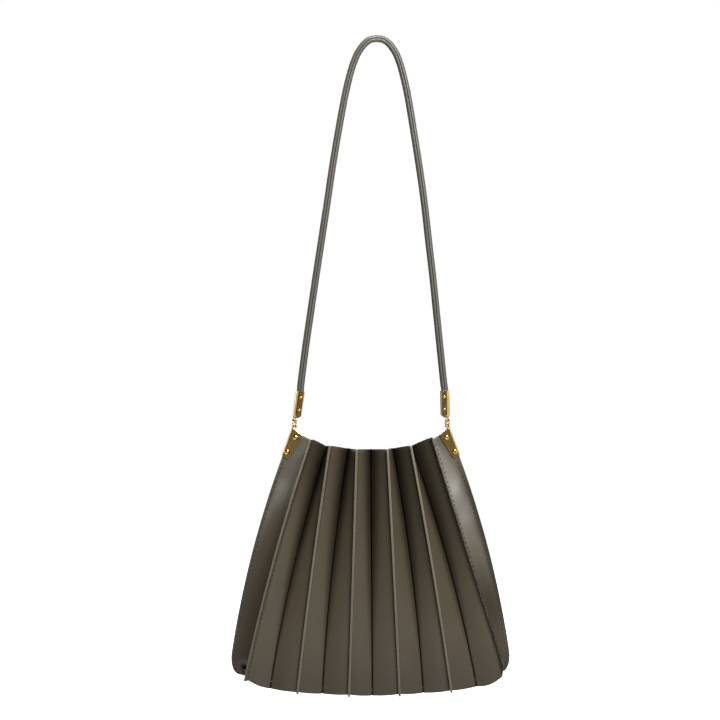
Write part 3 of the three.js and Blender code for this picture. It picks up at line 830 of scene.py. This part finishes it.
def stitch_shape():
    """One stitch along Z: a short six-sided length of thread that dives in at both ends."""
    straight = STITCH_STRAIGHT * STITCH_LENGTH * MM
    stitch = begin(bpy.ops.mesh.primitive_cylinder_add, vertices=6, radius=STITCH_RADIUS * MM, depth=straight)
    for end in (-1, 1):
        choose("FACE", lambda p: p.z * end > ALMOST * straight / 2)
        bpy.ops.mesh.extrude_region_move(
            TRANSFORM_OT_translate={"value": (0, 0, end * STITCH_DIVE * STITCH_LENGTH * MM)})
        bpy.ops.transform.resize(value=(STITCH_TIP, STITCH_TIP, 1))
    bpy.ops.object.mode_set(mode="OBJECT")
    mesh = stitch.data
    bpy.data.objects.remove(stitch)
    return mesh


def seam_stitch(index, level):
    """A place on a side seam's row of stitches on the front gusset, and the way the leather looks there."""
    left = FOLDS[index].side < 0
    line = strip_section(0 if left else len(FOLDS) - 3, level)
    if not left:
        line.reverse()
    left_to_walk = SIDE_STITCH_INSET[FOLDS[index].side]
    for a, b in zip(line, line[1:]):
        step = (b - a).length
        if step >= left_to_walk:
            break
        left_to_walk -= step
    along = flat_unit(b - a)
    aside = Vector((along.y, -along.x, 0)) if left else Vector((-along.y, along.x, 0))
    return lerp(a, b, left_to_walk / step) + aside * (LEATHER / 2 + STITCH_STAND), aside


def seam_line(index, face, side):
    """The line of a fin's stitches on one of its faces: points and the way that face looks."""
    places = []
    for level in LEVELS:
        if FOLDS[index].kind == "seam":
            point, aside = seam_stitch(index, level)
            point.y *= side
            aside.y *= side
        else:
            out = fin_direction(index, level)
            aside = Vector((-out.y, out.x, 0)) * side
            point = fold_point(FOLDS[index], level) - out * STITCH_INSET
            point += aside * (LAYER_OFFSET + LEATHER / 2 + STITCH_STAND)
        sink = BACK_SINK * level if face < 0 else 0
        at = Vector((point.x, face * point.y, point.z + sink * point.y))
        places.append((at, Vector((aside.x, face * aside.y, 0))))
    return places


def seam_stitches(name, index, face, shape, top_stop):
    """The stitches of one fin, as copies of a shape along both of its faces."""
    points = []
    faces = []
    for side in (-1, 1):
        places = seam_line(index, face, side)
        walked = 0
        due = STITCH_FIRST
        total = line_length([p for p, _ in places])
        for (a, facing), (b, _) in zip(places, places[1:]):
            step = (b - a).length
            while due <= walked + step and due < total - top_stop:
                along = (b - a).normalized()
                across = facing.cross(along).normalized()
                turn = Matrix((across, along.cross(across), along)).transposed()
                at = lerp(a, b, (due - walked) / step)
                first = len(points)
                points += [settled(at) + turn @ v.co for v in shape.vertices]
                faces += [[first + i for i in polygon.vertices] for polygon in shape.polygons]
                due += STITCH_PITCH
            walked += step
    piece = new_piece(name, points, faces)
    piece.data.materials.append(thread)
    piece.data.shade_smooth()
    finish_piece(piece, "wall_leather")


one_stitch = stitch_shape()
for index, row in enumerate(FOLDS):
    if row.kind == "ridge":
        for face_name, face in (("front", 1), ("back", -1)):
            seam_stitches(f"stitches_{face_name}_{index // 2}", index, face, one_stitch, RIDGE_STOP)
    if row.kind == "seam":
        side_name = "left" if row.side < 0 else "right"
        seam_stitches(f"stitches_side_{side_name}", index, 1, one_stitch, SEAM_STOP)


# Fittings

def clip_matrix(side):
    """From a clip's own frame, x inwards along v and z up along u, to the shared frame."""
    top = fold_point(QUARTER[-1], 1)
    lower = fold_point(QUARTER[-1], CLIP_FOOT_LEVEL)
    u = Vector((lower.x - top.x, 0, lower.z - top.z)).normalized()
    v = Vector((u.z, 0, -u.x))
    corner = top - u * CLIP_SEAM_DEPTH - v * (CLIP_WALL + CLIP_GAP)
    right = Matrix.Identity(4)
    for i in range(3):
        right[i][0] = v[i]
        right[i][1] = (0, 1, 0)[i]
        right[i][2] = -u[i]
        right[i][3] = corner[i] * MM
    return Matrix.Translation((BAG_X * MM, 0, 0)) @ Matrix.Diagonal((side, 1, 1, 1)) @ right


CLIP_EYE = Vector((EYE_INSET, 0, EYE_STEM - CLIP_TOP_DROP / CLIP_TOP * EYE_INSET)) * MM


def eye_centre(side):
    return clip_matrix(side) @ CLIP_EYE


def eye(stem_down, turned):
    """An eye of wire on a short flared stem. turned is the way that it turns with its ring."""
    loop = begin(bpy.ops.mesh.primitive_torus_add, major_segments=36, minor_segments=14,
                 major_radius=EYE_RADIUS * MM, minor_radius=EYE_WIRE * MM, rotation=(0, math.pi / 2, 0))
    bpy.ops.object.mode_set(mode="OBJECT")
    bpy.ops.object.transform_apply()
    foot = -stem_down * (EYE_STEM + CLIP_WALL / 2) * MM
    stem = begin(bpy.ops.mesh.primitive_cylinder_add, vertices=24, radius=STEM_RADIUS * MM,
                 depth=STEM_LENGTH * MM, location=(0, 0, foot + stem_down * STEM_LENGTH / 2 * MM))
    bpy.ops.object.mode_set(mode="OBJECT")
    bpy.ops.object.transform_apply()
    bpy.ops.object.mode_set(mode="EDIT")
    choose("FACE", lambda p: abs(p.z - foot) < NEAR)
    bpy.ops.transform.resize(value=(STEM_FLARE, STEM_FLARE, 1))
    bpy.ops.object.mode_set(mode="OBJECT")
    loop.data.transform(Matrix.Rotation(math.radians(LINK_TURN * turned), 4, "Z"))
    return join([loop, stem])


def round_edges(piece, width, angle):
    """Rounds the edges that are sharper than an angle."""
    edge = piece.modifiers.new("rounded_edges", "BEVEL")
    edge.width = width * MM
    edge.segments = 3
    edge.limit_method = "ANGLE"
    edge.angle_limit = math.radians(angle)


def make_brass(piece, matrix, node):
    """Puts a fitting in its place, names it after the node that it stands for and makes it brass."""
    close_up(piece, matrix)
    piece.name = f"brass_{node}"
    piece.data.materials.clear()
    piece.data.materials.append(brass)


def give_walls(piece, thickness, edge):
    """Gives a folded fitting its thickness, inwards, and rounded edges."""
    bpy.ops.object.mode_set(mode="OBJECT")
    wall = piece.modifiers.new("wall", "SOLIDIFY")
    wall.thickness = thickness * MM
    wall.offset = -1
    round_edges(piece, edge, METAL_ANGLE)
    apply_modifiers(piece)


def finish_folded(body, loop, matrix, node):
    """Joins a folded fitting and its eye, with smooth bends, sharp folds and flat faces."""
    piece = join([body, loop])
    make_brass(piece, matrix, node)
    bpy.ops.object.shade_smooth_by_angle(angle=math.radians(FOLD_ANGLE))
    piece.modifiers.new("flat_faces", "WEIGHTED_NORMAL").keep_sharp = True
    apply_modifiers(piece)
    finish_piece(piece, "brass", node)


def corner_clip(side, side_name):
    """A folded cap: a block opened at its inner side and foot, tapered, rounded and given walls."""
    top = CLIP_TOP * MM
    length = CLIP_LENGTH * MM
    slope = CLIP_TOP_DROP / CLIP_TOP
    clip = begin(bpy.ops.mesh.primitive_cube_add, size=1)
    bpy.ops.transform.resize(value=(top, CLIP_THICK * MM, length))
    bpy.ops.transform.translate(value=(top / 2, 0, -length / 2))
    choose("FACE", lambda p: p.x > ALMOST * top or p.z < -ALMOST * length)
    bpy.ops.mesh.delete(type="FACE")
    choose("VERT", lambda p: p.x > ALMOST * top and p.z > -NEAR)
    bpy.ops.transform.translate(value=(0, 0, -CLIP_TOP_DROP * MM))
    choose("VERT", lambda p: p.x > ALMOST * top and p.z < -ALMOST * length)
    bpy.ops.transform.translate(value=((CLIP_FOOT - CLIP_TOP) * MM, 0, -CLIP_FOOT_DROP * MM))
    choose("EDGE", lambda p: p.x < NEAR and abs(p.z + length / 2) < NEAR)
    bpy.ops.mesh.bevel(offset=CLIP_SPINE * MM, segments=8, affect="EDGES")
    choose("EDGE", lambda p: abs(p.z + slope * p.x) < NEAR and p.x < ALMOST * top)
    bpy.ops.mesh.bevel(offset=CLIP_TOP_EDGE * MM, segments=3, affect="EDGES")
    give_walls(clip, CLIP_SHEET, CLIP_EDGE)
    loop = eye(stem_down=1, turned=-1)
    loop.data.transform(Matrix.Translation(CLIP_EYE))
    finish_folded(clip, loop, clip_matrix(side), f"corner_clip_{side_name}")


def rivet(node, head_radius, head_height, seat, matrix):
    """A domed head with a dimple at the front and one at the back."""
    pin = begin(bpy.ops.mesh.primitive_uv_sphere_add, segments=24, ring_count=16, radius=head_radius * MM)
    bpy.ops.transform.rotate(value=math.pi / 2, orient_axis="X", center_override=(0, 0, 0))
    bpy.ops.transform.resize(value=(1, head_height / head_radius, 1))
    choose("VERT", lambda p: p.y < 0 and math.hypot(p.x, p.z) < RIVET_DIMPLE * head_radius * MM)
    bpy.ops.transform.translate(value=(0, RIVET_DIMPLE_DEPTH * head_height * MM, 0))
    bpy.ops.mesh.select_all(action="SELECT")
    bpy.ops.mesh.bisect(plane_co=(0, 0, 0), plane_no=(0, 1, 0), use_fill=True, clear_outer=True)
    bpy.ops.mesh.select_all(action="SELECT")
    bpy.ops.transform.translate(value=(0, -seat * MM, 0))
    bpy.ops.mesh.duplicate()
    bpy.ops.transform.resize(value=(1, -1, 1), center_override=(0, 0, 0))
    bpy.ops.mesh.select_all(action="SELECT")
    bpy.ops.mesh.normals_make_consistent(inside=False)
    make_brass(pin, matrix, node)
    round_edges(pin, RIVET_EDGE, RIVET_ANGLE)
    apply_modifiers(pin)
    bpy.ops.object.shade_smooth_by_angle(angle=math.radians(METAL_ANGLE))
    finish_piece(pin, "brass", node)


def link_ring(side, side_name):
    """A jump ring in the XZ plane, cut through on its outer side."""
    ring = begin(bpy.ops.mesh.primitive_torus_add, major_segments=72, minor_segments=16,
                 major_radius=RING_RADIUS * MM, minor_radius=RING_WIRE * MM)
    bpy.ops.transform.rotate(value=math.pi / 2, orient_axis="X", center_override=(0, 0, 0))
    choose("FACE", lambda p: p.x * side > 0 and abs(math.atan2(p.z, abs(p.x))) < math.radians(RING_CUT))
    bpy.ops.mesh.delete(type="FACE")
    bpy.ops.mesh.select_all(action="SELECT")
    bpy.ops.mesh.fill_holes(sides=0)
    bpy.ops.mesh.select_all(action="SELECT")
    bpy.ops.mesh.normals_make_consistent(inside=False)
    middle = Matrix.Translation(eye_centre(side) + Vector((0, 0, RING_RADIUS * MM)))
    node = f"link_ring_{side_name}"
    make_brass(ring, middle @ Matrix.Rotation(math.radians(-side * LINK_TURN), 4, "Z"), node)
    bpy.ops.object.shade_smooth_by_angle(angle=math.radians(METAL_ANGLE))
    finish_piece(ring, "brass", node)


def ferrule_matrix(side):
    """From a ferrule's own frame, mouth at the origin and strap along z, to the shared frame."""
    lean = math.radians(FERRULE_LEAN[side])
    axis = Vector((math.sin(lean), 0, math.cos(lean)))
    upper_eye = eye_centre(side) + Vector((0, 0, 2 * RING_RADIUS * MM))
    across = Vector((axis.z, 0, -axis.x))
    mouth = upper_eye + axis * (EYE_STEM + FERRULE_LENGTH) * MM - across * side * FERRULE_EYE_OFFSET * MM
    return Matrix.Translation(mouth) @ Matrix.Rotation(lean, 4, "Y")


def ferrule(side, side_name):
    """A clamp folded round the strap's end: round back, flat leaves inwards, tapered end and eye."""
    body = (FERRULE_LENGTH - FERRULE_TAPER) * MM
    radius = FERRULE_RADIUS * MM
    clamp = begin(bpy.ops.mesh.primitive_cube_add, size=1)
    bpy.ops.transform.resize(value=(2 * radius, 2 * radius, body))
    bpy.ops.transform.translate(value=(0, 0, -body / 2))
    choose("EDGE", lambda p: p.x * side > NEAR and abs(p.z + body / 2) < NEAR)
    bpy.ops.mesh.bevel(offset=FERRULE_BACK * MM, segments=10, affect="EDGES")
    choose("EDGE", lambda p: p.x * side < -ALMOST * radius and abs(p.y) > ALMOST * radius)
    bpy.ops.mesh.bevel(offset=FERRULE_LEAF * MM, segments=4, affect="EDGES")
    choose("FACE", lambda p: p.z > -NEAR)
    bpy.ops.mesh.delete(type="FACE")
    choose("FACE", lambda p: abs(p.z + body) < NEAR)
    bpy.ops.mesh.extrude_region_move(TRANSFORM_OT_translate={"value": (0, 0, -FERRULE_TAPER * MM)})
    bpy.ops.transform.resize(value=(FERRULE_END, FERRULE_END, 1))
    bpy.ops.transform.translate(value=(side * FERRULE_TAPER_OFFSET * MM, 0, 0))
    give_walls(clamp, FERRULE_SHEET, FERRULE_EDGE)
    loop = eye(stem_down=-1, turned=-side)
    below = Vector((side * FERRULE_EYE_OFFSET, 0, -FERRULE_LENGTH - EYE_STEM))
    loop.data.transform(Matrix.Translation(below * MM))
    finish_folded(clamp, loop, ferrule_matrix(side), f"ferrule_{side_name}")


for side, side_name in ((-1, "left"), (1, "right")):
    corner_clip(side, side_name)
    for i, (u, v) in enumerate(CLIP_RIVETS, start=1):
        at = clip_matrix(side) @ (Vector((v, 0, -u)) * MM)
        node = f"clip_rivet_{side_name}_{i}"
        rivet(node, *CLIP_RIVET_HEAD, CLIP_THICK / 2, Matrix.Translation(at))
    link_ring(side, side_name)
    ferrule(side, side_name)
    for i, depth in enumerate(FERRULE_RIVETS, start=1):
        at = Matrix.Translation(Vector((-side * FERRULE_RIVET_INSET, 0, -depth)) * MM)
        node = f"ferrule_rivet_{side_name}_{i}"
        rivet(node, *FERRULE_RIVET_HEAD, FERRULE_RADIUS, ferrule_matrix(side) @ at)


# Strap: one rolled length, from deep in the left ferrule over the top to deep in the right one

def strap_end(side):
    """The strap's middle line inside a ferrule, from its end to the ferrule's mouth."""
    depths = (STRAP_INSERT, STRAP_INSERT / 2, 0)
    return [ferrule_matrix(side) @ Vector((0, 0, -depth * MM)) for depth in depths]


def smooth_line(points):
    """A smooth line through the points."""
    last = len(points) - 1
    ways = [(points[min(i + 1, last)] - points[max(i - 1, 0)]).normalized() for i in range(last + 1)]
    line = [points[0]]
    for a, b, way_a, way_b in zip(points, points[1:], ways, ways[1:]):
        third = (b - a).length / 3
        line += geometry.interpolate_bezier(a, a + way_a * third, b - way_b * third, b, STRAP_STEPS + 1)[1:]
    return line


def strap():
    """Leather rolled round a core, its edges butted in a seam along the front.

    The seam's groove and the sides get painted shade, except over the top.
    """
    free = [Vector((x * MM, 0, z * MM)) for x, z in STRAP_ROUTE]
    line = smooth_line(strap_end(-1) + free + strap_end(1)[::-1])
    angles = [2 * math.pi * i / STRAP_SIDES for i in range(STRAP_SIDES)]
    seam = [math.exp(-((angle - math.pi / 2) * STRAP_RADIUS / STRAP_SEAM_HALF) ** 2) for angle in angles]
    radii = [(STRAP_RADIUS - STRAP_SEAM_DEPTH * share) * MM for share in seam]
    # Painted shade in the seam's groove and on the sides, which turn away from the light
    sides = [max(0, abs(math.cos(angle)) - STRAP_FACE) / (1 - STRAP_FACE) for angle in angles]
    strap_painted_shade = [max(share, STRAP_SIDE_SHADE * side) for share, side in zip(seam, sides)]
    front = Vector((0, -1, 0))
    points = []
    faces = []
    painted_shade = []
    for i, at in enumerate(line):
        along = (line[min(i + 1, len(line) - 1)] - line[max(i - 1, 0)]).normalized()
        aside = front.cross(along)
        # The painted shade fades over the top, where the light from above falls
        painted_shade += [share * abs(along.z) for share in strap_painted_shade]
        for radius, angle in zip(radii, angles):
            points.append(at + radius * (aside * math.cos(angle) + front * math.sin(angle)))
        if i > 0:
            before = (i - 1) * STRAP_SIDES
            here = i * STRAP_SIDES
            for j in range(STRAP_SIDES):
                beside = (j + 1) % STRAP_SIDES
                faces.append([before + j, before + beside, here + beside, here + j])
    faces.append(list(range(STRAP_SIDES))[::-1])
    faces.append([len(points) - STRAP_SIDES + j for j in range(STRAP_SIDES)])
    piece = new_piece("leather_strap", points, faces)
    mark_painted_shade(piece, painted_shade)
    piece.data.materials.append(rolled_calf)
    piece.data.shade_smooth()
    finish_piece(piece, "strap_leather", "strap")
    strap_end(-1)[-1]


strap()


# Floor, light and surroundings, in metres and watts

FLOOR_Z = -0.75
FLOOR_SIZE = 8
WORLD_LIGHT = 0.03


def pale_floor():
    """A matt floor that the camera sees as white."""
    bpy.ops.object.select_all(action="DESELECT")
    bpy.ops.mesh.primitive_plane_add(size=FLOOR_SIZE, location=(0, 0, FLOOR_Z))
    floor = bpy.context.object
    floor.name = "floor"
    material, tree, shader = blank("pale_matt_floor")
    shader.inputs["Base Color"].default_value = linear("#c8c8c8")
    shader.inputs["Roughness"].default_value = 0.9
    shader.inputs["Emission Color"].default_value = (1, 1, 1, 1)
    glow = add_node(tree, "ShaderNodeLightPath").outputs["Is Camera Ray"]
    tree.links.new(glow, shader.inputs["Emission Strength"])
    floor.data.materials.append(material)


def softbox(name, place, aim, width, height, power, lit=None):
    """A soft rectangular light. lit limits it to a collection."""
    data = bpy.data.lights.new(name, "AREA")
    data.shape = "RECTANGLE"
    data.size = width
    data.size_y = height
    data.energy = power
    lamp = bpy.data.objects.new(name, data)
    scene.collection.objects.link(lamp)
    lamp.location = place
    lamp.rotation_euler = (Vector(aim) - Vector(place)).to_track_quat("-Z", "Y").to_euler()
    if lit:
        lamp.light_linking.receiver_collection = lit


pale_floor()
gussets = bpy.data.collections.new("gussets")
fittings = bpy.data.collections.new("fittings")
straps = bpy.data.collections.new("straps")
straps.objects.link(bpy.data.objects["leather_strap"])
for piece in scene.collection.objects:
    if piece.name in ("leather_front_left_gusset", "leather_front_right_gusset"):
        gussets.objects.link(piece)
    if piece.name.startswith("brass"):
        fittings.objects.link(piece)
# Place, aim, width, height and power of each light, and the pieces that it is limited to
softbox("key_right", (0.63, -1.56, 0.96), (0, 0, -0.45), 1.0, 0.6, 77)
softbox("sheen_right", (1.48, -1.56, 0), (0.07, 0, -0.43), 0.9, 0.4, 20.5, gussets)
softbox("sheen_strap", (1.1, -1.75, 0.45), (0, 0, -0.15), 0.6, 0.5, 45, straps)
softbox("strap_top", (-0.15, -0.25, 1.0), (0, 0, 0), 0.5, 0.5, 14, straps)
softbox("sheen_left", (-0.91, -1.79, -0.14), (-0.08, 0, -0.43), 0.9, 0.5, 8, gussets)
softbox("front_card", (0, -2.4, -0.3), (0, 0, -0.4), 1.0, 1.0, 0.5)
softbox("glint_left", (-1.9, -0.4, -0.3), (-0.08, -0.2, -0.4), 3.4, 1.2, 13, fittings)
softbox("glint_right", (1.9, -0.4, -0.3), (0.07, -0.2, -0.4), 3.4, 1.2, 16, fittings)
softbox("glint_low", (0, -0.45, -0.72), (0, 0, -0.42), 2.4, 0.5, 4, fittings)
softbox("side_left", (-1.7, 0.9, 0.2), (0, 0, -0.45), 0.7, 1.2, 10)
softbox("side_right", (1.8, 0.6, 0.2), (0, 0, -0.45), 0.7, 1.2, 5)
softbox("back", (0.2, 1.8, 0.5), (0, 0, -0.4), 1.2, 1.2, 36)

world = bpy.data.worlds.new("white_studio")
scene.world = world
world.use_nodes = True
world.node_tree.nodes.clear()
seen = add_node(world.node_tree, "ShaderNodeLightPath").outputs["Is Camera Ray"]
strength = add_node(world.node_tree, "ShaderNodeMapRange", None, {
    "Value": seen, "To Min": WORLD_LIGHT, "To Max": 1.0})
sky = add_node(world.node_tree, "ShaderNodeBackground", None, {
    "Color": (1, 1, 1, 1), "Strength": strength.outputs["Result"]})
add_node(world.node_tree, "ShaderNodeOutputWorld", None, {"Surface": sky.outputs["Background"]})
scene.view_settings.view_transform = "Standard"

bpy.context.view_layer.update()
